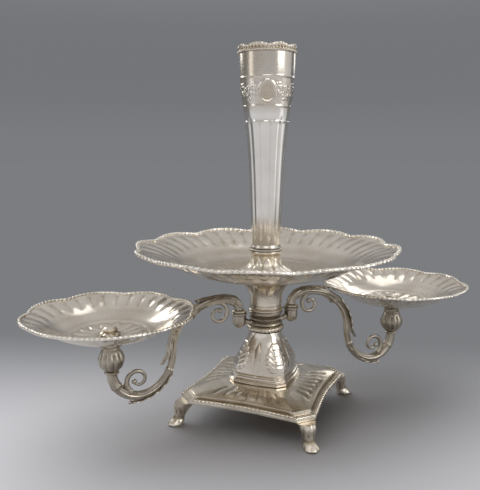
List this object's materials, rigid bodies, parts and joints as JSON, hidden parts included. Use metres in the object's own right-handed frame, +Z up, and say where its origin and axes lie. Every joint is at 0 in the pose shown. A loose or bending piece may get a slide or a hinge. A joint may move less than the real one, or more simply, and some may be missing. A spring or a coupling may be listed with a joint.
{
  "type": "table centrepiece",
  "caption": "Silver plated table centrepiece: a trumpet vase over a wide lobed bowl on a square footed base, with scroll arms that carry small lobed dishes.",
  "frame": {"origin": "on the table, under the middle of the vase", "axes": "+Z up; the two arms reach along +X and -X; the base's corners lie on the X and Y axes"},
  "size_m": [0.5212, 0.2912, 0.4],
  "materials": {
    "silver": "polished silver plate with fine scratches",
    "worn_silver": "silver plate, warm with light tarnish",
    "tarnished_silver": "silver plate, darkened by tarnish",
    "steel": "plain turned steel",
    "brass": "bare aged brass"
  },
  "bodies": {
    "stand": {"base_plinth": "worn_silver", "foot_right": "worn_silver", "foot_back": "worn_silver", "foot_left": "worn_silver", "foot_front": "worn_silver", "base_washer": "brass", "tie_rod": "steel", "pedestal": "silver", "column_knop": "worn_silver", "branch_collar": "tarnished_silver", "bowl_support": "worn_silver", "bowl": "silver", "bowl_rim": "worn_silver", "vase_socket": "worn_silver"},
    "wing_nut": {"base_wing_nut": "brass"},
    "vase_body": {"vase_spigot": "tarnished_silver", "vase": "silver", "vase_rim": "worn_silver"},
    "arm_body_left": {"arm_left": "tarnished_silver", "arm_peg_left": "worn_silver", "arm_leaf_left": "worn_silver", "dish_cup_left": "tarnished_silver"},
    "dish_body_left": {"dish_left": "silver", "dish_rim_left": "worn_silver", "dish_stud_left": "steel", "dish_boss_left": "worn_silver"},
    "arm_body_right": {"arm_right": "tarnished_silver", "arm_peg_right": "worn_silver", "arm_leaf_right": "worn_silver", "dish_cup_right": "tarnished_silver"},
    "dish_body_right": {"dish_right": "silver", "dish_rim_right": "worn_silver", "dish_stud_right": "steel", "dish_boss_right": "worn_silver"}
  },
  "joints": [
    {"name": "wing_nut_turn", "type": "hinge", "parent": "stand", "child": "wing_nut", "pos_m": [0, 0, 0.03], "axis": [0, 0, 1], "continuous": true},
    {"name": "vase_lift", "type": "slide", "parent": "stand", "child": "vase_body", "axis": [0, 0, 1], "range_m": [0, 0.018]},
    {"name": "arm_lift_left", "type": "slide", "parent": "stand", "child": "arm_body_left", "axis": [0, 0, 1], "range_m": [0, 0.015]},
    {"name": "dish_turn_left", "type": "hinge", "parent": "arm_body_left", "child": "dish_body_left", "pos_m": [-0.173, 0, 0.108], "axis": [0, 0, 1], "continuous": true},
    {"name": "arm_lift_right", "type": "slide", "parent": "stand", "child": "arm_body_right", "axis": [0, 0, 1], "range_m": [0, 0.015]},
    {"name": "dish_turn_right", "type": "hinge", "parent": "arm_body_right", "child": "dish_body_right", "pos_m": [0.173, 0, 0.108], "axis": [0, 0, 1], "continuous": true}
  ]
}
